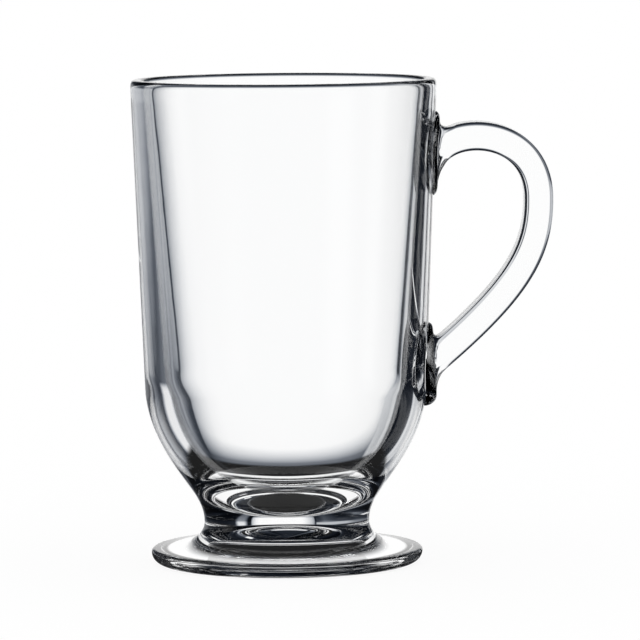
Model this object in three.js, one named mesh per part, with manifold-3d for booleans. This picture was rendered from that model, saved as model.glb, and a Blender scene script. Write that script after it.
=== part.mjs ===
// A clear glass coffee mug on a foot: a round-bottomed bowl, a flared foot under it and a flat-sided
// handle at its side. The three pieces are pressed apart and fused hot, so each ends in a weld face.
// Millimetres, +Z up. The origin is where the bowl's axis meets the table, and the handle points to +X.
import * as THREE from "three";
import { mergeVertices } from "three/addons/utils/BufferGeometryUtils.js";
import Module from "manifold-3d";

// Bowl
const MUG_HEIGHT = 127; // table to the top of the lip
const RIM_DIAMETER = 80; // outside, just under the lip
const LIP_THICKNESS = 3.2;
const LIP_ROUNDING = 2.6; // height over which the lip is rounded off
const BODY_DIAMETER = 73.9; // outside, where the straight wall meets the shoulder
const SHOULDER_HEIGHT = 46; // table to the end of the straight wall
const SHOULDER_WALL = 5.2; // glass at the end of the straight wall
const SHOULDER_PULL = 13.8; // how far the shoulder follows the wall before it turns in
const FLANK_PULL = 5; // how far the underside runs straight up from the weld
const FLANK_ANGLE = 27; // degrees from upright, where the underside leaves the weld
const CAVITY_RISE = 4; // end of the straight wall to where the cavity starts to turn in
const CAVITY_PULL = 20; // how far the cavity follows its wall before it turns in
const CAVITY_FLAT = 14; // how far out from the axis the cavity's bottom keeps level
const FLOOR_THICKNESS = 1.5; // glass of the bowl under the lowest point of the cavity

// Weld between bowl and foot
const WELD_DIAMETER = 47;
const WELD_HEIGHT = 17; // table to the crease round the weld
const WELD_SAG = 3.5; // how far the bowl dips into the foot at the axis
const WELD_GAP = 0.3; // room left between two welded faces

// Foot
const FOOT_DIAMETER = 71.2;
const FOOT_EDGE = 4; // thickness of the disc at its round edge
const EDGE_ROUNDING = 3.2; // how far in from that edge the rounding reaches underneath
const EDGE_CORNER = 1.1; // rounding of that edge on top
const FLARE_HEIGHT = 4.9; // table to the point that the flare bends round
const NECK_DIAMETER = 43.4;
const NECK_HEIGHT = 10.8; // table to the narrowest place
const RECESS_DIAMETER = 45; // hollow under the foot
const RECESS_FLAT = 13.6; // how far out from the axis the hollow's top keeps level
const RECESS_PULL = 2.8; // how far the hollow's side runs straight up from the table
const RECESS_ANGLE = 79; // degrees above level, at which that side starts
const FOOT_WEB = 1.2; // glass between the top of that hollow and the weld

// Handle
const UPPER_PAD_DROP = 19.8; // top of the lip to the middle of the upper pad
const LOWER_PAD_RISE = 5.8; // end of the straight wall to the middle of the lower pad
const PAD_HEIGHT = 22;
const PAD_WIDTH = 15;
const UPPER_PAD_THICKNESS = 1.2;
const LOWER_PAD_THICKNESS = 2.1;
const BAR_DEPTH = 7.5; // thickness of the bar as seen from its flat side
const BAR_WIDTH = 12; // across the flat sides
const OUTER_EDGE_RADIUS = 1.2;
const INNER_EDGE_RADIUS = 2.4;
const HANDLE_REACH = 27.1; // wall to the middle of the bar at its furthest
const BEND_DROP = 11.7; // middle of the upper pad to the furthest point, downwards
const ROOT_ANGLE = 53.5; // degrees above level, at which the bar leaves the upper pad
const ROOT_PULL = 9.8; // how far the bar keeps that direction
const BEND_PULL = 18.1; // how far the upper bend comes straight down
const LIMB_ANGLE = 50.5; // degrees from upright, at which the bar reaches the lower pad
const DROP_SHARE = 0.31; // share of the fall to the lower pad in which the bar goes straight down
const LIMB_SHARE = 0.73; // share of that fall in which the lower limb keeps its direction
const ROOT_BURY = 9; // how far the bar and pads run on inside the wall before they are cut to it

// Fineness of the facets
const ROUND_SEGMENTS = 64;
const CURVE_SEGMENTS = 8;
const CORNER_SEGMENTS = 3;
const BAR_STEPS = 52;
const MERGE_DISTANCE = 1e-4; // corners closer than this are one

const rimRadius = RIM_DIAMETER / 2;
const bodyRadius = BODY_DIAMETER / 2;
const weldRadius = WELD_DIAMETER / 2;
const lipBase = MUG_HEIGHT - LIP_ROUNDING;
const weldBottom = WELD_HEIGHT - WELD_SAG;

const wasm = await Module();
wasm.setup();

const glass = new THREE.MeshStandardMaterial({
  color: 0xf4f7fa,
  roughness: 0.03,
  metalness: 0,
  transparent: true,
  opacity: 0.35,
});

// Turns an outline of radius and height, drawn from axis to axis, about the upright axis.
function turned(outline) {
  const geometry = new THREE.LatheGeometry(outline.getPoints(CURVE_SEGMENTS), ROUND_SEGMENTS);
  return geometry.rotateX(Math.PI / 2);
}

// The same closed geometry as a solid that can be joined and cut.
function solidOf(geometry) {
  const bare = geometry.index ? geometry.toNonIndexed() : geometry.clone();
  bare.deleteAttribute("normal");
  bare.deleteAttribute("uv");
  const merged = mergeVertices(bare, MERGE_DISTANCE);
  const corners = merged.index.array;
  const kept = [];
  for (let i = 0; i < corners.length; i += 3) {
    const [a, b, c] = corners.slice(i, i + 3);
    if (a !== b && b !== c && c !== a) {
      kept.push(a, b, c);
    }
  }
  const vertProperties = new Float32Array(merged.attributes.position.array);
  const triVerts = new Uint32Array(kept);
  return new wasm.Manifold(new wasm.Mesh({ numProp: 3, vertProperties, triVerts }));
}

function geometryOf(solid) {
  const { vertProperties, triVerts } = solid.getMesh();
  const geometry = new THREE.BufferGeometry();
  geometry.setAttribute("position", new THREE.BufferAttribute(vertProperties, 3));
  geometry.setIndex(new THREE.BufferAttribute(triVerts, 1));
  geometry.computeVertexNormals();
  return geometry;
}

// A piece of the mug as a named mesh of clear glass.
function piece(name, geometry) {
  const mesh = new THREE.Mesh(geometry, glass.clone());
  mesh.name = name;
  return mesh;
}

// The bowl's outer surface from the axis, over the weld face and shoulder, up to the lip, and grown
// sideways where a neighbour has to clear it.
function bowlOutside(grow) {
  const flank = THREE.MathUtils.degToRad(FLANK_ANGLE);
  const taper = (rimRadius - bodyRadius) / (lipBase - SHOULDER_HEIGHT);
  const outline = new THREE.Path();
  outline.moveTo(0, weldBottom);
  outline.quadraticCurveTo(weldRadius / 2, weldBottom, weldRadius + grow, WELD_HEIGHT);
  outline.bezierCurveTo(
    weldRadius + FLANK_PULL * Math.sin(flank) + grow,
    WELD_HEIGHT + FLANK_PULL * Math.cos(flank),
    bodyRadius - SHOULDER_PULL * taper + grow,
    SHOULDER_HEIGHT - SHOULDER_PULL,
    bodyRadius + grow,
    SHOULDER_HEIGHT,
  );
  outline.lineTo(rimRadius + grow, lipBase);
  return outline;
}

// The bowl's outside as a full solid, without the cavity.
function bowlBlank(grow) {
  const outline = bowlOutside(grow);
  outline.lineTo(0, lipBase);
  return solidOf(turned(outline));
}

function wallRadius(height) {
  const share = (height - SHOULDER_HEIGHT) / (lipBase - SHOULDER_HEIGHT);
  return bodyRadius + share * (rimRadius - bodyRadius);
}

// Bowl: a slightly tapered wall, thicker towards a round bottom, with a rounded lip.
function bowl() {
  const outline = bowlOutside(0);
  const lipMiddle = rimRadius - LIP_THICKNESS / 2;
  const cavityRadius = bodyRadius - SHOULDER_WALL;
  const lean = (rimRadius - LIP_THICKNESS - cavityRadius) / (lipBase - SHOULDER_HEIGHT);
  const turnRadius = cavityRadius + CAVITY_RISE * lean;
  const turnHeight = SHOULDER_HEIGHT + CAVITY_RISE;
  const cavityFloor = weldBottom + FLOOR_THICKNESS;
  outline.absellipse(lipMiddle, lipBase, LIP_THICKNESS / 2, LIP_ROUNDING, 0, Math.PI, false);
  outline.lineTo(turnRadius, turnHeight);
  outline.bezierCurveTo(
    turnRadius - CAVITY_PULL * lean,
    turnHeight - CAVITY_PULL,
    CAVITY_FLAT,
    cavityFloor,
    0,
    cavityFloor,
  );
  return piece("bowl", turned(outline));
}

// Foot: a round-edged disc that flares up into a neck, hollowed from below, with a seat for the bowl.
function foot() {
  const seat = weldBottom - WELD_GAP;
  const crease = WELD_HEIGHT - WELD_GAP;
  const neckRadius = NECK_DIAMETER / 2;
  const recessRadius = RECESS_DIAMETER / 2;
  const recessTop = seat - FOOT_WEB;
  const quarter = Math.PI / 2;
  const side = THREE.MathUtils.degToRad(RECESS_ANGLE);
  const edgeStart = FOOT_DIAMETER / 2 - EDGE_ROUNDING;
  const cornerStart = FOOT_DIAMETER / 2 - EDGE_CORNER;
  const cornerHeight = FOOT_EDGE - EDGE_CORNER;
  const outline = new THREE.Path();
  outline.moveTo(0, recessTop);
  outline.bezierCurveTo(
    RECESS_FLAT,
    recessTop,
    recessRadius - RECESS_PULL * Math.cos(side),
    RECESS_PULL * Math.sin(side),
    recessRadius,
    0,
  );
  outline.lineTo(edgeStart, 0);
  outline.absellipse(edgeStart, cornerHeight, EDGE_ROUNDING, cornerHeight, -quarter, 0, false);
  outline.absarc(cornerStart, cornerHeight, EDGE_CORNER, 0, quarter, false);
  outline.quadraticCurveTo(neckRadius, FLARE_HEIGHT, neckRadius, NECK_HEIGHT);
  outline.quadraticCurveTo(neckRadius, (NECK_HEIGHT + crease) / 2, weldRadius, crease);
  outline.quadraticCurveTo(weldRadius / 2, seat, 0, seat);
  return piece("foot", turned(outline));
}

// The middle line of the handle's bar: out of the upper pad, round the bend and down to the lower pad.
function handlePath(upperPad, lowerPad) {
  const root = THREE.MathUtils.degToRad(ROOT_ANGLE);
  const limb = THREE.MathUtils.degToRad(LIMB_ANGLE);
  const rise = new THREE.Vector3(Math.cos(root), 0, Math.sin(root));
  const climb = new THREE.Vector3(Math.sin(limb), 0, Math.cos(limb));
  const down = new THREE.Vector3(0, 0, -1);
  const top = new THREE.Vector3(wallRadius(upperPad), 0, upperPad);
  const furthest = new THREE.Vector3(top.x + HANDLE_REACH, 0, upperPad - BEND_DROP);
  const end = new THREE.Vector3(wallRadius(lowerPad), 0, lowerPad);
  const fall = furthest.z - end.z;
  const path = new THREE.CurvePath();
  path.add(new THREE.LineCurve3(top.clone().addScaledVector(rise, -ROOT_BURY), top));
  path.add(
    new THREE.CubicBezierCurve3(
      top,
      top.clone().addScaledVector(rise, ROOT_PULL),
      furthest.clone().addScaledVector(down, -BEND_PULL),
      furthest,
    ),
  );
  path.add(
    new THREE.CubicBezierCurve3(
      furthest,
      furthest.clone().addScaledVector(down, DROP_SHARE * fall),
      end.clone().addScaledVector(climb, LIMB_SHARE * fall),
      end,
    ),
  );
  path.add(new THREE.LineCurve3(end, end.clone().addScaledVector(climb, -ROOT_BURY)));
  return path;
}

// The bar's section: flat sides, tight corners on the outer edge and softer ones on the finger side.
function barSection() {
  const side = BAR_WIDTH / 2;
  const outer = -BAR_DEPTH / 2;
  const inner = BAR_DEPTH / 2;
  const tight = OUTER_EDGE_RADIUS;
  const soft = INNER_EDGE_RADIUS;
  const quarter = Math.PI / 2;
  const section = new THREE.Shape();
  section.absarc(side - tight, outer + tight, tight, -quarter, 0, false);
  section.absarc(side - soft, inner - soft, soft, 0, quarter, false);
  section.absarc(soft - side, inner - soft, soft, quarter, 2 * quarter, false);
  section.absarc(tight - side, outer + tight, tight, 2 * quarter, 3 * quarter, false);
  section.closePath();
  return section;
}

function bar(upperPad, lowerPad) {
  const geometry = new THREE.ExtrudeGeometry(barSection(), {
    steps: BAR_STEPS,
    curveSegments: CORNER_SEGMENTS,
    extrudePath: handlePath(upperPad, lowerPad),
  });
  return solidOf(geometry);
}

// A pad that hugs the wall at the given height: an oval block, cut down to the given thickness.
function pad(height, thickness) {
  const outline = new THREE.Shape();
  outline.absellipse(0, 0, PAD_WIDTH / 2, PAD_HEIGHT / 2, 0, 2 * Math.PI, false);
  const geometry = new THREE.ExtrudeGeometry(outline, {
    depth: ROOT_BURY + 2 * thickness,
    bevelEnabled: false,
    curveSegments: CURVE_SEGMENTS,
  });
  const across = new THREE.Vector3(0, 1, 0);
  const up = new THREE.Vector3(0, 0, 1);
  const outwards = new THREE.Vector3(1, 0, 0);
  geometry.applyMatrix4(new THREE.Matrix4().makeBasis(across, up, outwards));
  geometry.translate(wallRadius(height) - ROOT_BURY, 0, height);
  return solidOf(geometry).intersect(bowlBlank(thickness));
}

// Handle: the bar with an oval pad at each end, cut to the bowl's wall.
function handle() {
  const upperPad = MUG_HEIGHT - UPPER_PAD_DROP;
  const lowerPad = SHOULDER_HEIGHT + LOWER_PAD_RISE;
  const pads = pad(upperPad, UPPER_PAD_THICKNESS).add(pad(lowerPad, LOWER_PAD_THICKNESS));
  const whole = bar(upperPad, lowerPad).add(pads).subtract(bowlBlank(WELD_GAP));
  return piece("handle", geometryOf(whole));
}

const mug = new THREE.Group();
mug.name = "mug";
mug.add(bowl(), foot(), handle());

export default mug;
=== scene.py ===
"""A clear glass mug on a foot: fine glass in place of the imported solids, and a studio round it.

The bowl, the foot and the handle are three bodies of pressed glass that were fused hot. Each has a seam
face where it meets its neighbour. Light passes a seam face unbent, so that the mug refracts as one body.
Lengths are in metres, +Z is up, and the handle points to +X.
"""

import math

import bpy
import numpy as np
from mathutils import Matrix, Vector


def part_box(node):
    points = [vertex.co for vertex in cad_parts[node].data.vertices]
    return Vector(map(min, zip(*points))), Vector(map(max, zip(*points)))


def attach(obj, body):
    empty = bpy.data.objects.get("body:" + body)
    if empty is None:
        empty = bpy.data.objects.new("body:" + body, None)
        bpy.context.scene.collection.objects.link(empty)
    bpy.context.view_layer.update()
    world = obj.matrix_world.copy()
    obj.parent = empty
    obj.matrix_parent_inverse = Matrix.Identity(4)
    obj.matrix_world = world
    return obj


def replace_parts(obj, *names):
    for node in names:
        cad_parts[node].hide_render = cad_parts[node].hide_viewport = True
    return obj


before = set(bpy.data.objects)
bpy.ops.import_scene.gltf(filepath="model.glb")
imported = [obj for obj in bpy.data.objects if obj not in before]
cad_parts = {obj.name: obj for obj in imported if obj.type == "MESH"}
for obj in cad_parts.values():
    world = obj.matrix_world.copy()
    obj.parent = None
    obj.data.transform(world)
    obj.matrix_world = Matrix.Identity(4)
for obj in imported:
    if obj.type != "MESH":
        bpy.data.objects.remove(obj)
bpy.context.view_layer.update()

MM = 0.001

# Bowl
bowl_low, bowl_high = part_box("bowl")
MUG_HEIGHT = bowl_high.z
RIM_RADIUS = bowl_high.y
LIP_THICKNESS = 3.2 * MM
LIP_ROUNDING = 2.6 * MM
LIP_BASE = MUG_HEIGHT - LIP_ROUNDING
LIP_SQUARENESS = 3.5
BODY_RADIUS = 36.95 * MM
SHOULDER_HEIGHT = 46 * MM
SHOULDER_WALL = 5.2 * MM
SHOULDER_PULL = 13.8 * MM
FLANK_PULL = 5 * MM
FLANK_ANGLE = math.radians(27)
CAVITY_TURN = 50 * MM
CAVITY_PULL = 20 * MM
CAVITY_FLAT = 14 * MM
FLOOR_THICKNESS = 1.5 * MM

# Weld between bowl and foot
WELD_RADIUS = 23.5 * MM
WELD_BOTTOM = bowl_low.z
WELD_HEIGHT = 17 * MM

# Foot
FOOT_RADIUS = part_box("foot")[1].y
FOOT_EDGE = 4 * MM
EDGE_ROUNDING = 3.2 * MM
EDGE_CORNER = 1.1 * MM
FLARE_HEIGHT = 4.9 * MM
NECK_RADIUS = 21.7 * MM
NECK_HEIGHT = 10.8 * MM
RECESS_RADIUS = 22.5 * MM
RECESS_HEIGHT = 12 * MM
RECESS_FLAT = 13.6 * MM
RECESS_PULL = 2.8 * MM
RECESS_ANGLE = math.radians(79)
BEARING_START = 22.6 * MM
BEARING_STOP = 32.3 * MM

# Handle
UPPER_PAD = MUG_HEIGHT - 19.8 * MM
LOWER_PAD = SHOULDER_HEIGHT + 5.8 * MM
PAD_HALF_HEIGHT = 11 * MM
PAD_HALF_WIDTH = 7.5 * MM
UPPER_PAD_TOP_THICKNESS = 1.2 * MM
UPPER_PAD_LOW_THICKNESS = 1.2 * MM
LOWER_PAD_TOP_THICKNESS = 1.3 * MM
LOWER_PAD_LOW_THICKNESS = 2.9 * MM
PAD_ROUNDING = 2.5 * MM
PAD_FLANK_SHARE = 0.05
BAR_HALF_DEPTH = 3.75 * MM
BAR_HALF_WIDTH = 6 * MM
OUTER_EDGE_RADIUS = 1.6 * MM
INNER_EDGE_RADIUS = 2 * MM
HANDLE_REACH = 27.1 * MM
BEND_DROP = 11.7 * MM
ROOT_ANGLE = math.radians(53.5)
ROOT_PULL = 9.8 * MM
BEND_PULL = 18.1 * MM
LIMB_ANGLE = math.radians(50.5)
DROP_SHARE = 0.31
LIMB_SHARE = 0.73
ROOT_BURY = 9 * MM
FILLET_LENGTH = 4 * MM

# Patches of the bowl's wall round the pads
PATCH_HALF_HEIGHT = 15 * MM
PATCH_HALF_ANGLE = 0.3
PATCH_GAP = 0.2 * MM

# Fineness of the surfaces
ROUND_COLUMNS = 240
PATCH_CELLS = 24
PAD_CELLS = 16
OUTLINE_POINTS = 600
SHOULDER_ROWS = 60
MIDDLE_ROWS = 22
TOP_ROWS = 6
LIP_ROWS = 49
INNER_WALL_ROWS = 24
BOTTOM_ROWS = 72
WELD_ROWS = 14
HOLLOW_ROWS = 48
INNER_RING_ROWS = 12
BEARING_ROWS = 8
OUTER_RING_ROWS = 4
EDGE_ROWS = 28
EDGE_CORNER_ROWS = 14
FLARE_ROWS = 50
NECK_ROWS = 24
CORNER_STEPS = 16
BAR_ROWS = 130
BAR_LINE_POINTS = 400
BURIED_POINTS = 100
PAD_FLANK_ROWS = 4
PAD_EDGE_ROWS = 8
FILLET_ROWS = 14

# Material slots of the glass pieces
CLEAR_SLOT = 0
SEAM_SLOT = 1
GROUND_SLOT = 2

# Glass
GLASS_COLOUR = (0.997, 0.999, 1, 1)
GLASS_IOR = 1.52
GLASS_REFLECTION = (0.2, 0.2, 0.2, 1)
WAVE_SCALE = 60
WAVE_HEIGHT = 0.02 * MM
WAVE_DETAIL = 2

# Ground glass under the foot, clear to steep rays and a mirror to grazing ones
STIPPLE_SCALE = 1500
STIPPLE_HEIGHT = 0.004 * MM
GROUND_STEEP = 0.3
GROUND_GRAZING = 0.36

# Camera, as the photograph was taken
PHOTO_SIDE = 640
FOCAL_PIXELS = 5042.85
SENSOR_WIDTH = 36.0
CAMERA_PLACE = (0, -1317.2 * MM, 179.3 * MM)
CAMERA_PITCH = math.radians(5.019)
CAMERA_YAW = math.radians(0.396)
CAMERA_ROLL = math.radians(0.44)

# Floor, and the painted shadow and light that glass sees on the table near the mug: radii in millimetres,
# each with its brightness. Dark painted shadow under the foot, a white ring of painted light under the
# foot's ground ring, and dark painted shadow beyond it out to the fade.
FLOOR_REACH = 6.0
FLOOR_GAP = 0.1 * MM
FLOOR_GLOW = 0.9
TABLE_PAINTED_SHADOW_AND_LIGHT = [(0, 0.015), (22.4, 0.015), (22.8, 1), (30.5, 1), (31.3, 0.015), (60, 0.015)]
PAINTED_TABLE_RADIUS = 60
PAINTED_TABLE_SOFTNESS = 10

# Studio: what glass sees, as angles in degrees with the brightness there, across and up
SCREEN_LEFT = [(-13.6, 0), (-13.2, 0.36), (-12, 0.56), (-10, 0.78), (-8, 0.95), (-6, 1)]
SCREEN_RIGHT = [(13, 1), (15, 0.9), (17, 0.6), (18, 0)]
SCREEN_UP = [(-60, 0), (-30, 0.02), (-21, 0.2), (-14, 1), (17, 1), (20, 0.5), (24, 0.02)]
LOW_CARD_ACROSS = [(14, 0), (16, 0.7), (22, 0.6), (27, 0)]
LOW_CARD_UP = [(-30, 0), (-24, 1), (-14, 1), (-11, 0)]
GREY_CARD_FAR = [(-110, 0.05), (-90, 0.1), (-60, 0.2), (-44, 0.25)]
GREY_CARD_NEAR = [(-35, 0.5), (-14.6, 0.55), (-14.2, 0)]
GREY_CARD_UP = [(-12, 0), (-10, 0.1), (-7.5, 0.8), (-5, 1), (1, 1), (4, 0.1), (25, 0)]
ROOM_LEFT = [(-110, 0.03), (-100, 0.05), (-60, 0.14), (-46, 0.14), (-40, 0.06), (-30, 0.04)]
ROOM_BESIDE = [(-22, 0.2), (-19, 0.3), (-15, 0.05)]
ROOM_RIGHT = [(18, 0.01), (20, 0.01), (22, 0.8), (26, 0.8), (28, 0.02), (36, 0.01), (110, 0.01)]
ROOM_UP = [(-60, 0.2), (-30, 0.8), (-18, 1), (2, 1), (8, 0.3), (40, 0.1)]
CARDS = [
    (SCREEN_LEFT + SCREEN_RIGHT, SCREEN_UP),
    (LOW_CARD_ACROSS, LOW_CARD_UP),
    (GREY_CARD_FAR + GREY_CARD_NEAR, GREY_CARD_UP),
    (ROOM_LEFT + ROOM_BESIDE + ROOM_RIGHT, ROOM_UP),
]

# Windows: azimuth, elevation, half width and half height in degrees, and brightness
WINDOWS = [(-45, -25, 4, 5, 0.9), (-90, -4, 6, 8, 1), (135, -15, 6, 8, 1)]
WINDOW_SOFTNESS = 8
GREY_TINT_POWERS = (1.05, 1, 0.92)

# Light paths through many layers of glass
LIGHT_BOUNCES = 32
MIRROR_BOUNCES = 24


# Curves

def bezier(points, count):
    """Points on a Bezier curve: the control points summed with Bernstein's weights."""
    points = np.asarray(points, float)
    degree = len(points) - 1
    share = np.linspace(0, 1, count)[:, None]
    weights = [math.comb(degree, k) * share**k * (1 - share) ** (degree - k) for k in range(degree + 1)]
    return sum(weight * point for weight, point in zip(weights, points))


def line(start, stop, count):
    """Evenly spaced points from start to stop."""
    return bezier([start, stop], count)


def ellipse_arc(centre, radii, start, stop, count):
    """Points centre + radii * (cos a, sin a) for angles a from start to stop."""
    angle = np.linspace(start, stop, count)
    turn = np.stack([np.cos(angle), np.sin(angle)], axis=-1)
    return np.asarray(centre) + np.asarray(radii) * turn


def squared_arch(centre, radii, power, count):
    """Points from right to left on the upper half of |x / a|^p + |y / b|^p = 1.

    They are a cos^(2/p) and b sin^(2/p) of even angles.
    """
    angle = np.linspace(0, math.pi, count)
    cosine, sine = np.cos(angle), np.sin(angle).clip(0)
    across = np.sign(cosine) * np.abs(cosine) ** (2 / power)
    return np.asarray(centre) + np.asarray(radii) * np.stack([across, sine ** (2 / power)], axis=-1)


def chain(*curves):
    """Curves joined end to end, each without the point that it shares with the one before."""
    return np.concatenate([curves[0]] + [curve[1:] for curve in curves[1:]])


# Surfaces of revolution

def outline_normals(outline):
    """Normals (dz, -dr) to the right of an outline of radius and height, from slopes by arc length."""
    steps = np.linalg.norm(np.diff(outline, axis=0), axis=1)
    along = np.concatenate([[0], np.cumsum(steps)])
    slope = np.gradient(outline, along, axis=0, edge_order=2)
    slope /= np.linalg.norm(slope, axis=1, keepdims=True)
    return np.stack([slope[:, 1], -slope[:, 0]], axis=-1)


def spun(radius, angle, height):
    """Points (r cos a, r sin a, z) for arrays of radius, angle and height."""
    return np.stack(np.broadcast_arrays(radius * np.cos(angle), radius * np.sin(angle), height), axis=-1)


def turned(outline, slopes, angles):
    """Points and normals of an outline of radius and height, turned about the axis to each angle."""
    points = spun(outline[:, :1], angles, outline[:, 1:]).reshape(-1, 3)
    normals = spun(slopes[:, :1], angles, slopes[:, 1:]).reshape(-1, 3)
    return points, normals


def column_angles():
    """Angles round the axis: close columns across the handle's pads, wider ones over the rest."""
    near = np.linspace(-PATCH_HALF_ANGLE, PATCH_HALF_ANGLE, 2 * PATCH_CELLS + 1)
    far = np.linspace(PATCH_HALF_ANGLE, 2 * math.pi - PATCH_HALF_ANGLE, ROUND_COLUMNS + 1)
    return np.concatenate([near, far[1:-1]])


# Meshes

def quads(number):
    """Four-cornered faces between neighbouring rows and columns of a grid of vertex numbers."""
    corners = [number[:-1, :-1], number[:-1, 1:], number[1:, 1:], number[1:, :-1]]
    return np.stack(corners, axis=-1).reshape(-1, 4)


def ringed(number):
    """The same grid with its first column repeated after the last, so that it closes on itself."""
    return np.concatenate([number, number[:, :1]], axis=1)


def fan(pole, ring):
    """Triangles from a pole to a closed ring of vertex numbers."""
    after = np.roll(ring, -1)
    return np.stack([np.full_like(ring, pole), after, ring], axis=-1)


def glass_piece(name, points, normals, parts, materials):
    """A mesh object from vertices with normals, and parts: faces with their material's number."""
    faces = [face for group, _ in parts for face in group.tolist()]
    slots = np.concatenate([np.full(len(group), slot, np.int32) for group, slot in parts])
    mesh = bpy.data.meshes.new(name)
    mesh.from_pydata(points, [], faces)
    mesh.polygons.foreach_set("material_index", slots)
    mesh.polygons.foreach_set("use_smooth", np.ones(len(faces), bool))
    for material in materials:
        mesh.materials.append(material)
    mesh.update()
    mesh.normals_split_custom_set_from_vertices(normals)
    piece = bpy.data.objects.new(name, mesh)
    bpy.context.scene.collection.objects.link(piece)
    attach(piece, "root")
    return piece


# Bowl

def shoulder(count):
    """The underside from the weld's crease to the straight wall, one cubic curve."""
    taper = (RIM_RADIUS - BODY_RADIUS) / (LIP_BASE - SHOULDER_HEIGHT)
    crease = np.array([WELD_RADIUS, WELD_HEIGHT])
    flank = crease + FLANK_PULL * np.array([math.sin(FLANK_ANGLE), math.cos(FLANK_ANGLE)])
    body = np.array([BODY_RADIUS, SHOULDER_HEIGHT])
    return bezier([crease, flank, body - SHOULDER_PULL * np.array([taper, 1]), body], count)


WALL_OUTLINE = chain(
    shoulder(OUTLINE_POINTS),
    line((BODY_RADIUS, SHOULDER_HEIGHT), (RIM_RADIUS, LIP_BASE), OUTLINE_POINTS),
)


def wall_radius(height):
    """Radius of the bowl's outer surface at a height, read off its outline."""
    return np.interp(height, WALL_OUTLINE[:, 1], WALL_OUTLINE[:, 0])


def weld_face(count):
    """The parabola on which the bowl sits in the foot, from the axis out to the crease."""
    return bezier([(0, WELD_BOTTOM), (WELD_RADIUS / 2, WELD_BOTTOM), (WELD_RADIUS, WELD_HEIGHT)], count)


def wall_heights():
    """Heights of the wall's rows, even across each pad's patch, and the rows of the two pads' middles."""
    crease_rows = shoulder(SHOULDER_ROWS)[:, 1]
    lower = LOWER_PAD + PATCH_HALF_HEIGHT * np.linspace(-1, 1, 2 * PATCH_CELLS + 1)
    upper = UPPER_PAD + PATCH_HALF_HEIGHT * np.linspace(-1, 1, 2 * PATCH_CELLS + 1)
    start = crease_rows[crease_rows < lower[0] - PATCH_GAP]
    between = np.linspace(lower[-1], upper[0], MIDDLE_ROWS)[1:-1]
    top = np.linspace(upper[-1], LIP_BASE, TOP_ROWS)[1:]
    heights = np.concatenate([start, lower, between, upper, top])
    lower_row = len(start) + PATCH_CELLS
    upper_row = lower_row + 2 * PATCH_CELLS + len(between) + 1
    return heights, lower_row, upper_row


def oval(across, up):
    """A square's points (across, up) drawn to a disc: (a sqrt(1 - u*u/2), u sqrt(1 - a*a/2))."""
    return across * np.sqrt(1 - up**2 / 2), up * np.sqrt(1 - across**2 / 2)


def pad_cells():
    """Rows and columns of one patch, from -1 to 1, counted from the pad's middle."""
    count = np.arange(-PATCH_CELLS, PATCH_CELLS + 1) / PATCH_CELLS
    return np.meshgrid(count, count, indexing="ij")


def patch(pad_height):
    """Heights and angles of a patch's grid, whose middle cells fill the pad's oval on the wall.

    A cell up to PAD_CELLS cells out from the middle goes to the oval disc. One beyond that lies on the
    straight way from the oval's rim to the patch's border.
    """
    up, across = pad_cells()
    reach = np.maximum(np.abs(up), np.abs(across))
    limit = PAD_CELLS / PATCH_CELLS
    edge = np.maximum(reach, limit)
    disc_across, disc_up = oval(across / edge, up / edge)
    oval_height = pad_height + PAD_HALF_HEIGHT * disc_up
    oval_angle = np.arcsin(PAD_HALF_WIDTH * disc_across / wall_radius(oval_height))
    out = (edge - limit) / (1 - limit)
    border_height = pad_height + PATCH_HALF_HEIGHT * up / edge
    border_angle = PATCH_HALF_ANGLE * across / edge
    height = oval_height + out * (border_height - oval_height)
    angle = oval_angle + out * (border_angle - oval_angle)
    return height, angle


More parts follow.
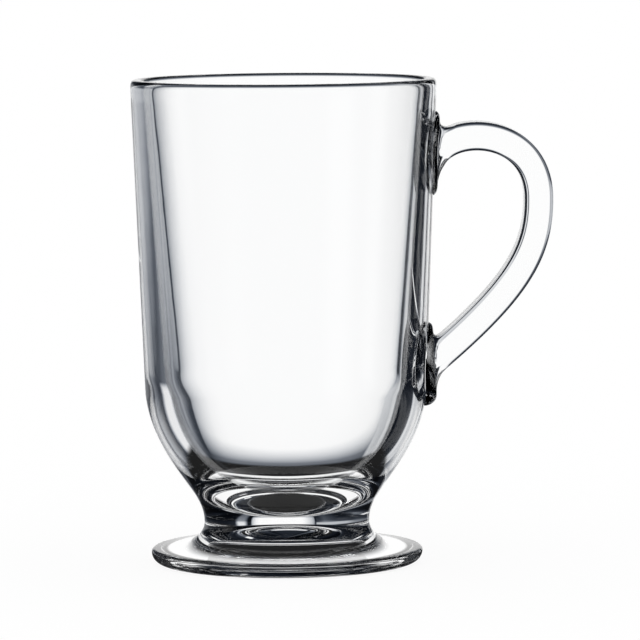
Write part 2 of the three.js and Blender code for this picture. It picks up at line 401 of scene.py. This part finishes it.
def bowl(materials):
    """The bowl: weld face, shoulder, wall with its two pad seams, lip, inner wall and round bottom."""
    angles = column_angles()
    heights, lower_row, upper_row = wall_heights()
    wall_height, wall_angle = np.meshgrid(heights, angles, indexing="ij")
    seam_cells = np.zeros((len(heights) - 1, len(angles)), bool)
    for row, pad_height in ((lower_row, LOWER_PAD), (upper_row, UPPER_PAD)):
        rows = slice(row - PATCH_CELLS, row + PATCH_CELLS + 1)
        columns = slice(0, 2 * PATCH_CELLS + 1)
        wall_height[rows, columns], wall_angle[rows, columns] = patch(pad_height)
        middle = slice(PATCH_CELLS - PAD_CELLS, PATCH_CELLS + PAD_CELLS)
        seam_cells[row - PAD_CELLS : row + PAD_CELLS, middle] = True
    wall = spun(wall_radius(wall_height), wall_angle, wall_height)

    lip_middle = RIM_RADIUS - LIP_THICKNESS / 2
    lip_size = (LIP_THICKNESS / 2, LIP_ROUNDING)
    lip = squared_arch((lip_middle, LIP_BASE), lip_size, LIP_SQUARENESS, LIP_ROWS)
    rest = chain(lip, cavity(lip[-1]))[1:]
    weld = weld_face(WELD_ROWS)
    disc = weld[:-1]

    outline = np.concatenate([np.stack([wall_radius(heights), heights], axis=-1), rest])
    outline_slopes = outline_normals(outline)
    slope_heights = wall_height.ravel()
    wall_rows = len(heights)
    wall_slope = [np.interp(slope_heights, heights, outline_slopes[:wall_rows, i]) for i in (0, 1)]
    wall_normals = spun(wall_slope[0], wall_angle.ravel(), wall_slope[1])

    disc_slopes = outline_normals(weld)[:-1]
    rest_slopes = outline_slopes[wall_rows:]
    disc_points, disc_normals = turned(disc[1:], disc_slopes[1:], angles)
    rest_points, rest_normals = turned(rest[:-1], rest_slopes[:-1], angles)
    poles = np.array([(0, 0, disc[0, 1]), (0, 0, rest[-1, 1])])
    pole_normals = np.array([(0, 0, -1.0), (0, 0, 1.0)])
    points = np.concatenate([poles, disc_points, wall.reshape(-1, 3), rest_points])
    normals = np.concatenate([pole_normals, disc_normals, wall_normals, rest_normals])

    number = 2 + np.arange(len(points) - 2).reshape(-1, len(angles))
    disc_rows = len(disc) - 1
    disc_faces = quads(ringed(number[: disc_rows + 1]))
    wall_faces = quads(ringed(number[disc_rows : disc_rows + wall_rows]))
    rest_faces = quads(ringed(number[disc_rows + wall_rows - 1 :]))
    on_seam = seam_cells.ravel()
    return glass_piece(
        "bowl_glass",
        points,
        normals,
        [
            (fan(0, number[0]), SEAM_SLOT),
            (disc_faces, SEAM_SLOT),
            (wall_faces[on_seam], SEAM_SLOT),
            (wall_faces[~on_seam], CLEAR_SLOT),
            (rest_faces, CLEAR_SLOT),
            (fan(1, number[-1])[:, ::-1], CLEAR_SLOT),
        ],
        materials,
    )


def cavity(lip_foot):
    """The inner wall, straight down from the lip, and the round bottom, one cubic curve to the axis."""
    floor_height = WELD_BOTTOM + FLOOR_THICKNESS
    wall_foot = np.array([BODY_RADIUS - SHOULDER_WALL, SHOULDER_HEIGHT])
    slope = (lip_foot - wall_foot) / (lip_foot - wall_foot)[1]
    turn = wall_foot + (CAVITY_TURN - SHOULDER_HEIGHT) * slope
    bottom = bezier(
        [turn, turn - CAVITY_PULL * slope, (CAVITY_FLAT, floor_height), (0, floor_height)],
        BOTTOM_ROWS,
    )
    return chain(line(lip_foot, turn, INNER_WALL_ROWS), bottom)


# Foot

def foot(materials):
    """The foot: seat under the bowl, neck, flare, round edge, bearing ring and the hollow underneath."""
    edge_start = FOOT_RADIUS - EDGE_ROUNDING
    corner_height = FOOT_EDGE - EDGE_CORNER
    corner_start = FOOT_RADIUS - EDGE_CORNER
    neck_turn = (NECK_HEIGHT + WELD_HEIGHT) / 2
    hollow = bezier(
        [
            (0, RECESS_HEIGHT),
            (RECESS_FLAT, RECESS_HEIGHT),
            (RECESS_RADIUS - RECESS_PULL * math.cos(RECESS_ANGLE), RECESS_PULL * math.sin(RECESS_ANGLE)),
            (RECESS_RADIUS, 0),
        ],
        HOLLOW_ROWS,
    )
    inner_ring = line((RECESS_RADIUS, 0), (BEARING_START, 0), INNER_RING_ROWS)
    bearing = line((BEARING_START, 0), (BEARING_STOP, 0), BEARING_ROWS)
    outer_ring = line((BEARING_STOP, 0), (edge_start, 0), OUTER_RING_ROWS)
    quarter = math.pi / 2
    edge_size = (EDGE_ROUNDING, corner_height)
    edge = ellipse_arc((edge_start, corner_height), edge_size, -quarter, 0, EDGE_ROWS)
    corner_size = (EDGE_CORNER, EDGE_CORNER)
    corner = ellipse_arc((corner_start, corner_height), corner_size, 0, quarter, EDGE_CORNER_ROWS)
    neck_foot = (NECK_RADIUS, NECK_HEIGHT)
    flare = bezier([(corner_start, FOOT_EDGE), (NECK_RADIUS, FLARE_HEIGHT), neck_foot], FLARE_ROWS)
    neck = bezier([neck_foot, (NECK_RADIUS, neck_turn), (WELD_RADIUS, WELD_HEIGHT)], NECK_ROWS)
    seat = weld_face(WELD_ROWS)[::-1]

    angles = column_angles()
    outside = chain(hollow, inner_ring, bearing, outer_ring, edge, corner, flare, neck)
    outline = chain(outside, seat)
    slopes = np.concatenate([outline_normals(outside), outline_normals(seat)[1:]])
    middle = slice(1, len(outline) - 1)
    points, normals = turned(outline[middle], slopes[middle], angles)
    poles = np.array([(0, 0, outline[0, 1]), (0, 0, outline[-1, 1])])
    pole_normals = np.array([(0, 0, -1.0), (0, 0, 1.0)])

    number = 2 + np.arange(len(points)).reshape(-1, len(angles))
    bearing_start = len(hollow) + len(inner_ring) - 3
    bearing_stop = bearing_start + len(bearing) - 1
    seat_start = len(outside) - 2
    return glass_piece(
        "foot_glass",
        np.concatenate([poles, points]),
        np.concatenate([pole_normals, normals]),
        [
            (fan(0, number[0]), CLEAR_SLOT),
            (quads(ringed(number[: bearing_start + 1])), CLEAR_SLOT),
            (quads(ringed(number[bearing_start : bearing_stop + 1])), GROUND_SLOT),
            (quads(ringed(number[bearing_stop : seat_start + 1])), CLEAR_SLOT),
            (quads(ringed(number[seat_start:])), SEAM_SLOT),
            (fan(1, number[-1])[:, ::-1], SEAM_SLOT),
        ],
        materials,
    )


# Handle

def handle_line():
    """Points on the bar's middle line (x, z): buried root, bend, lower limb and buried end."""
    rise = np.array([math.cos(ROOT_ANGLE), math.sin(ROOT_ANGLE)])
    climb = np.array([math.sin(LIMB_ANGLE), math.cos(LIMB_ANGLE)])
    down = np.array([0, -1.0])
    root = np.array([wall_radius(UPPER_PAD), UPPER_PAD])
    end = np.array([wall_radius(LOWER_PAD), LOWER_PAD])
    furthest = root + np.array([HANDLE_REACH, -BEND_DROP])
    fall = furthest[1] - end[1]
    start = line(root - ROOT_BURY * rise, root, BURIED_POINTS)
    bend = bezier([root, root + ROOT_PULL * rise, furthest - BEND_PULL * down, furthest], BAR_LINE_POINTS)
    limb_top = furthest + DROP_SHARE * fall * down
    limb_low = end + LIMB_SHARE * fall * climb
    limb = bezier([furthest, limb_top, limb_low, end], BAR_LINE_POINTS)
    return chain(start, bend, limb, line(end, end - ROOT_BURY * climb, BURIED_POINTS))


def square_loop():
    """The border of a square of side 2, walked from (1, -1) upwards in 2 * PAD_CELLS steps a side."""
    walk = np.linspace(-1, 1, 2 * PAD_CELLS + 1)[:-1]
    one = np.ones_like(walk)
    across = np.concatenate([one, -walk, -one, walk])
    up = np.concatenate([walk, one, -walk, -one])
    return across, up


def bar_section():
    """The bar's section (across, outwards): a rectangle with tight outer and softer inner corners.

    Each corner is a quarter circle of CORNER_STEPS steps, and each side between two corners has as many.
    The walk starts in the middle of the first corner, where the square loop starts.
    """
    corners = [
        (1, -1, INNER_EDGE_RADIUS, -0.5),
        (1, 1, OUTER_EDGE_RADIUS, 0.0),
        (-1, 1, OUTER_EDGE_RADIUS, 0.5),
        (-1, -1, INNER_EDGE_RADIUS, 1.0),
    ]
    arcs = []
    for across, out, radius, turn in corners:
        centre = (across * (BAR_HALF_WIDTH - radius), out * (BAR_HALF_DEPTH - radius))
        start = turn * math.pi
        arcs.append(ellipse_arc(centre, (radius, radius), start, start + math.pi / 2, CORNER_STEPS + 1))
    sides = [line(arcs[i][-1], arcs[(i + 1) % 4][0], CORNER_STEPS + 1)[1:-1] for i in range(4)]
    section = np.concatenate([np.concatenate([arc, side]) for arc, side in zip(arcs, sides)])
    return np.roll(section, -CORNER_STEPS // 2, axis=0)


def pad_surface(pad_height, across, up, inset, lift):
    """Points over the oval, drawn in and lifted off the wall: x = sqrt((R(z) + lift)^2 - y^2)."""
    side = (PAD_HALF_WIDTH - inset) * across
    height = pad_height + (PAD_HALF_HEIGHT - inset) * up
    out = np.sqrt((wall_radius(height) + lift) ** 2 - side**2)
    return np.stack([out, side, height], axis=-1)


def pad_thickness(height):
    """Thickness of a pad at a height: from its low end to its top in proportion."""
    ends = [pad + side * PAD_HALF_HEIGHT for pad in (LOWER_PAD, UPPER_PAD) for side in (-1, 1)]
    thickness = [
        LOWER_PAD_LOW_THICKNESS,
        LOWER_PAD_TOP_THICKNESS,
        UPPER_PAD_LOW_THICKNESS,
        UPPER_PAD_TOP_THICKNESS,
    ]
    return np.interp(height, ends, thickness)


def pad_rows(pad_height, across, up):
    """Rows of the pad's edge from the wall out: a straight flank, then a quarter ellipse onto its face."""
    flank_share = np.linspace(0, 1, PAD_FLANK_ROWS)[:-1, None]
    turn = np.linspace(0, math.pi / 2, PAD_EDGE_ROWS)[:, None]
    thickness = pad_thickness(pad_height + PAD_HALF_HEIGHT * up)
    flank_top = PAD_FLANK_SHARE * thickness
    lift = np.concatenate([flank_share * flank_top, flank_top + (thickness - flank_top) * np.sin(turn)])
    inset = np.concatenate([np.zeros_like(flank_share), PAD_ROUNDING * (1 - np.cos(turn))])
    return pad_surface(pad_height, across, up, inset, lift)


def fillet_rows(pad_face, foot_of_bar, on_bar):
    """Rows of a hollow between pad and bar: quadratic curves bent towards the foot of the bar."""
    share = np.linspace(0, 1, FILLET_ROWS)[:, None, None]
    return (1 - share) ** 2 * pad_face + 2 * share * (1 - share) * foot_of_bar + share**2 * on_bar


def grid_normals(grid):
    """Normals of a grid closed round its columns: the cross product of its two central differences."""
    along = np.gradient(grid, axis=0, edge_order=2)
    around = np.roll(grid, -1, axis=1) - np.roll(grid, 1, axis=1)
    normal = np.cross(around, along)
    return normal / np.linalg.norm(normal, axis=-1, keepdims=True)


def handle(materials):
    """The handle: one grid of loops from the upper pad's seam over the bar to the lower pad's seam."""
    middle = handle_line()
    steps = np.linalg.norm(np.diff(middle, axis=0), axis=1)
    along = np.concatenate([[0], np.cumsum(steps)])
    slope = np.gradient(middle, along, axis=0, edge_order=2)
    slope /= np.linalg.norm(slope, axis=1, keepdims=True)
    outward = np.stack([-slope[:, 1], slope[:, 0]], axis=-1)
    section = bar_section()

    def bar_points(distance):
        """Points at the given distances along the bar, one column for each point of the section."""
        place = [np.interp(distance, along, middle[:, i]) for i in (0, 1)]
        out = [np.interp(distance, along, outward[:, i]) for i in (0, 1)]
        across, depth = np.broadcast_to(section[:, 0], distance.shape), section[:, 1]
        return np.stack([place[0] + depth * out[0], across, place[1] + depth * out[1]], axis=-1)

    columns = len(section)
    track = np.broadcast_to(along[:, None], (len(along), columns))
    bar = bar_points(track)
    pad_face = wall_radius(bar[..., 2]) + pad_thickness(bar[..., 2])
    clear = np.hypot(bar[..., 0], bar[..., 1]) > pad_face
    first = along[np.argmax(clear, axis=0)]
    last = along[len(along) - 1 - np.argmax(clear[::-1], axis=0)]
    share = np.linspace(0, 1, BAR_ROWS)[:, None]
    start = first + FILLET_LENGTH
    stop = last - FILLET_LENGTH
    bar = bar_points(start + share * (stop - start))

    across, up = oval(*square_loop())
    upper = pad_rows(UPPER_PAD, across, up)
    lower = pad_rows(LOWER_PAD, across, -up)[::-1]
    upper_fillet = fillet_rows(upper[-1], bar_points(first[None])[0], bar[0])
    lower_fillet = fillet_rows(lower[0], bar_points(last[None])[0], bar[-1])[::-1]
    grid = np.concatenate([upper, upper_fillet[1:], bar[1:-1], lower_fillet[:-1], lower])
    normals = grid_normals(grid)

    number = np.arange(grid.shape[0] * columns).reshape(-1, columns)
    inner = np.linspace(-1, 1, 2 * PAD_CELLS + 1)[1:-1]
    cap_up, cap_across = np.meshgrid(inner, inner, indexing="ij")
    disc_across, disc_up = oval(cap_across, cap_up)
    upper_cap = pad_surface(UPPER_PAD, disc_across, disc_up, 0, 0).reshape(-1, 3)
    lower_cap = pad_surface(LOWER_PAD, disc_across, -disc_up, 0, 0).reshape(-1, 3)
    facing = np.tile([-1.0, 0, 0], (len(upper_cap), 1))
    points = np.concatenate([grid.reshape(-1, 3), upper_cap, lower_cap])
    all_normals = np.concatenate([normals.reshape(-1, 3), facing, facing])
    upper_number = cap_numbers(number[0], number.size)
    lower_number = cap_numbers(number[-1], number.size + len(upper_cap))
    return glass_piece(
        "handle_glass",
        points,
        all_normals,
        [
            (quads(ringed(number)), CLEAR_SLOT),
            (quads(upper_number)[:, ::-1], SEAM_SLOT),
            (quads(lower_number), SEAM_SLOT),
        ],
        materials,
    )


def cap_numbers(loop, first_inner):
    """Vertex numbers of a square grid: the given loop as its border, and inside counted from first_inner."""
    side = 2 * PAD_CELLS
    number = np.empty((side + 1, side + 1), int)
    number[1:-1, 1:-1] = first_inner + np.arange((side - 1) ** 2).reshape(side - 1, side - 1)
    right, top, left, bottom = loop.reshape(4, side)
    number[:-1, -1] = right
    number[-1, :0:-1] = top
    number[:0:-1, 0] = left
    number[0, :-1] = bottom
    return number


# Materials

def new_material(name):
    """A material with an empty node tree and its output node."""
    material = bpy.data.materials.new(name)
    material.use_nodes = True
    tree = material.node_tree
    tree.nodes.clear()
    return material, tree, tree.nodes.new("ShaderNodeOutputMaterial")


def pressed_glass(name, wave_scale, wave_height):
    """Clear glass whose skin undulates as pressed glass does: noise in Object coordinates, as bump."""
    material, tree, output = new_material(name)
    shader = tree.nodes.new("ShaderNodeBsdfPrincipled")
    shader.inputs["Base Color"].default_value = GLASS_COLOUR
    shader.inputs["Specular Tint"].default_value = GLASS_REFLECTION
    shader.inputs["Roughness"].default_value = 0
    shader.inputs["IOR"].default_value = GLASS_IOR
    shader.inputs["Transmission Weight"].default_value = 1
    place = tree.nodes.new("ShaderNodeTexCoord")
    noise = tree.nodes.new("ShaderNodeTexNoise")
    noise.inputs["Scale"].default_value = wave_scale
    noise.inputs["Detail"].default_value = WAVE_DETAIL
    bump = tree.nodes.new("ShaderNodeBump")
    bump.inputs["Distance"].default_value = wave_height
    bump.inputs["Strength"].default_value = 1
    tree.links.new(place.outputs["Object"], noise.inputs["Vector"])
    tree.links.new(noise.outputs["Fac"], bump.inputs["Height"])
    tree.links.new(bump.outputs["Normal"], shader.inputs["Normal"])
    tree.links.new(shader.outputs["BSDF"], output.inputs["Surface"])
    return material


def ground_glass():
    """Ground glass: steep rays pass straight through it to the table, and grazing rays are mirrored."""
    material = pressed_glass("ground_glass", STIPPLE_SCALE, STIPPLE_HEIGHT)
    tree = material.node_tree
    facing = tree.nodes.new("ShaderNodeLayerWeight")
    facing.inputs["Blend"].default_value = 0.5
    grazing = tree.nodes.new("ShaderNodeMapRange")
    tree.links.new(facing.outputs["Facing"], grazing.inputs["Value"])
    grazing.inputs["From Min"].default_value = GROUND_STEEP
    grazing.inputs["From Max"].default_value = GROUND_GRAZING
    through = tree.nodes.new("ShaderNodeBsdfTransparent")
    mix = tree.nodes.new("ShaderNodeMixShader")
    tree.links.new(grazing.outputs["Result"], mix.inputs["Fac"])
    tree.links.new(through.outputs["BSDF"], mix.inputs[1])
    tree.links.new(tree.nodes["Principled BSDF"].outputs["BSDF"], mix.inputs[2])
    tree.links.new(mix.outputs["Shader"], tree.nodes["Material Output"].inputs["Surface"])
    return material


def fused_seam():
    """A seam inside the glass, which light passes unbent."""
    material, tree, output = new_material("fused_seam")
    shader = tree.nodes.new("ShaderNodeBsdfTransparent")
    tree.links.new(shader.outputs["BSDF"], output.inputs["Surface"])
    return material


# Studio

def math_node(tree, kind, *values):
    """The result of a Math node on sockets or plain numbers."""
    node = tree.nodes.new("ShaderNodeMath")
    node.operation = kind
    for socket, value in zip(node.inputs, values):
        if isinstance(value, bpy.types.NodeSocket):
            tree.links.new(value, socket)
        else:
            socket.default_value = value
    return node.outputs["Value"]


def graded(tree, measure, stops):
    """Brightness on straight lines between stops, each a measure and a brightness, level beyond the ends."""
    low, high = stops[0][0], stops[-1][0]
    share = math_node(tree, "DIVIDE", math_node(tree, "SUBTRACT", measure, low), high - low)
    ramp = tree.nodes.new("ShaderNodeValToRGB")
    tree.links.new(share, ramp.inputs["Fac"])
    elements = ramp.color_ramp.elements
    elements.remove(elements[1])
    elements[0].position = 0
    elements[0].color = (stops[0][1],) * 3 + (1,)
    for stop, value in stops[1:]:
        element = elements.new((stop - low) / (high - low))
        element.color = (value,) * 3 + (1,)
    return ramp.outputs["Color"]


def faded(tree, measure, middle, half, soft):
    """1 up to half away from the middle, falling smoothly to 0 over a further soft."""
    away = math_node(tree, "ABSOLUTE", math_node(tree, "SUBTRACT", measure, middle))
    fall = tree.nodes.new("ShaderNodeMapRange")
    fall.interpolation_type = "SMOOTHSTEP"
    tree.links.new(away, fall.inputs["Value"])
    fall.inputs["From Min"].default_value = half
    fall.inputs["From Max"].default_value = half + soft
    fall.inputs["To Min"].default_value = 1
    fall.inputs["To Max"].default_value = 0
    return fall.outputs["Result"]


def by_glass(tree):
    """1 for a ray that glass has bent or mirrored, else 0."""
    path = tree.nodes.new("ShaderNodeLightPath")
    return math_node(tree, "MAXIMUM", path.outputs["Is Transmission Ray"], path.outputs["Is Glossy Ray"])


def floor():
    """A plain white floor, far wider than the view.

    Through glass, the table near the mug shows painted shade: a dark disc of painted shadow under the foot,
    a white ring of painted light under the foot's ground ring, and dark painted shadow beyond it;
    further out the floor can't be seen.
    """
    corners = FLOOR_REACH * np.array([(-1, -1, 0), (1, -1, 0), (1, 1, 0), (-1, 1, 0)], float)
    corners[:, 2] = -FLOOR_GAP
    mesh = bpy.data.meshes.new("floor")
    mesh.from_pydata(corners, [], [(0, 1, 2, 3)])
    material, tree, output = new_material("white_floor")
    lit = tree.nodes.new("ShaderNodeBsdfDiffuse")
    lit.inputs["Color"].default_value = (1, 1, 1, 1)
    glow = tree.nodes.new("ShaderNodeEmission")
    glow.inputs["Color"].default_value = (1, 1, 1, 1)
    white = tree.nodes.new("ShaderNodeMixShader")
    white.inputs["Fac"].default_value = FLOOR_GLOW
    tree.links.new(lit.outputs["BSDF"], white.inputs[1])
    tree.links.new(glow.outputs["Emission"], white.inputs[2])
    clear_way = tree.nodes.new("ShaderNodeBsdfTransparent")
    place = tree.nodes.new("ShaderNodeTexCoord")
    distance = tree.nodes.new("ShaderNodeVectorMath")
    distance.operation = "LENGTH"
    tree.links.new(place.outputs["Object"], distance.inputs[0])
    reach = math_node(tree, "DIVIDE", distance.outputs["Value"], MM)
    # Painted shadow and light on the table, seen only through glass: dark under the foot and beyond the
    # ground ring, white under the ground ring.
    shade = tree.nodes.new("ShaderNodeEmission")
    tree.links.new(graded(tree, reach, TABLE_PAINTED_SHADOW_AND_LIGHT), shade.inputs["Color"])
    near = faded(tree, reach, 0, PAINTED_TABLE_RADIUS, PAINTED_TABLE_SOFTNESS)
    through = tree.nodes.new("ShaderNodeMixShader")
    tree.links.new(near, through.inputs["Fac"])
    tree.links.new(clear_way.outputs["BSDF"], through.inputs[1])
    tree.links.new(shade.outputs["Emission"], through.inputs[2])
    mix = tree.nodes.new("ShaderNodeMixShader")
    tree.links.new(by_glass(tree), mix.inputs["Fac"])
    tree.links.new(white.outputs["Shader"], mix.inputs[1])
    tree.links.new(through.outputs["Shader"], mix.inputs[2])
    tree.links.new(mix.outputs["Shader"], output.inputs["Surface"])
    mesh.materials.append(material)
    piece = bpy.data.objects.new("floor", mesh)
    bpy.context.scene.collection.objects.link(piece)


def studio():
    """A white room for the camera. Glass sees a white screen ahead, cards, a dark room and windows.

    What glass sees depends on the ray's azimuth atan2(x, y) and elevation asin(z), both in degrees.
    """
    world = bpy.data.worlds.new("studio")
    bpy.context.scene.world = world
    world.use_nodes = True
    tree = world.node_tree
    tree.nodes.clear()
    place = tree.nodes.new("ShaderNodeTexCoord")
    parts = tree.nodes.new("ShaderNodeSeparateXYZ")
    tree.links.new(place.outputs["Generated"], parts.inputs["Vector"])
    turn = math_node(tree, "ARCTAN2", parts.outputs["X"], parts.outputs["Y"])
    azimuth = math_node(tree, "DEGREES", turn)
    elevation = math_node(tree, "DEGREES", math_node(tree, "ARCSINE", parts.outputs["Z"]))

    seen = 0.0
    for across, up in CARDS:
        card = math_node(tree, "MULTIPLY", graded(tree, azimuth, across), graded(tree, elevation, up))
        seen = math_node(tree, "MAXIMUM", seen, card)
    for middle, height, half_width, half_height, brightness in WINDOWS:
        across = faded(tree, azimuth, middle, half_width, WINDOW_SOFTNESS)
        up = faded(tree, elevation, height, half_height, WINDOW_SOFTNESS)
        lit = math_node(tree, "MULTIPLY", math_node(tree, "MULTIPLY", across, up), brightness)
        seen = math_node(tree, "MAXIMUM", seen, lit)
    tint = tree.nodes.new("ShaderNodeCombineColor")
    for socket, power in zip(tint.inputs, GREY_TINT_POWERS):
        tree.links.new(math_node(tree, "POWER", seen, power), socket)

    mix = tree.nodes.new("ShaderNodeMixRGB")
    mix.inputs["Color1"].default_value = (1, 1, 1, 1)
    tree.links.new(by_glass(tree), mix.inputs["Fac"])
    tree.links.new(tint.outputs["Color"], mix.inputs["Color2"])
    background = tree.nodes.new("ShaderNodeBackground")
    tree.links.new(mix.outputs["Color"], background.inputs["Color"])
    output = tree.nodes.new("ShaderNodeOutputWorld")
    tree.links.new(background.outputs["Background"], output.inputs["Surface"])


def camera():
    """The photograph's camera: far off with a long lens, looking slightly down."""
    lens = bpy.data.cameras.new("camera")
    lens.sensor_width = SENSOR_WIDTH
    lens.lens = FOCAL_PIXELS / PHOTO_SIDE * SENSOR_WIDTH
    lens.clip_end = 100
    eye = bpy.data.objects.new("camera", lens)
    upright = Matrix.Rotation(math.pi / 2 - CAMERA_PITCH, 4, "X")
    yaw = Matrix.Rotation(-CAMERA_YAW, 4, "Z")
    roll = Matrix.Rotation(-CAMERA_ROLL, 4, "Z")
    eye.matrix_world = Matrix.Translation(CAMERA_PLACE) @ yaw @ upright @ roll
    bpy.context.scene.collection.objects.link(eye)
    bpy.context.scene.camera = eye


camera()
seam = fused_seam()
clear = pressed_glass("clear_glass", WAVE_SCALE, WAVE_HEIGHT)
ground = ground_glass()
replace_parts(bowl([clear, seam]), "bowl")
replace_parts(foot([clear, seam, ground]), "foot")
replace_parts(handle([clear, seam]), "handle")
floor()
studio()

cycles = bpy.context.scene.cycles
cycles.max_bounces = LIGHT_BOUNCES
cycles.glossy_bounces = MIRROR_BOUNCES
cycles.transmission_bounces = LIGHT_BOUNCES
cycles.transparent_max_bounces = LIGHT_BOUNCES
bpy.context.scene.view_settings.view_transform = "Standard"
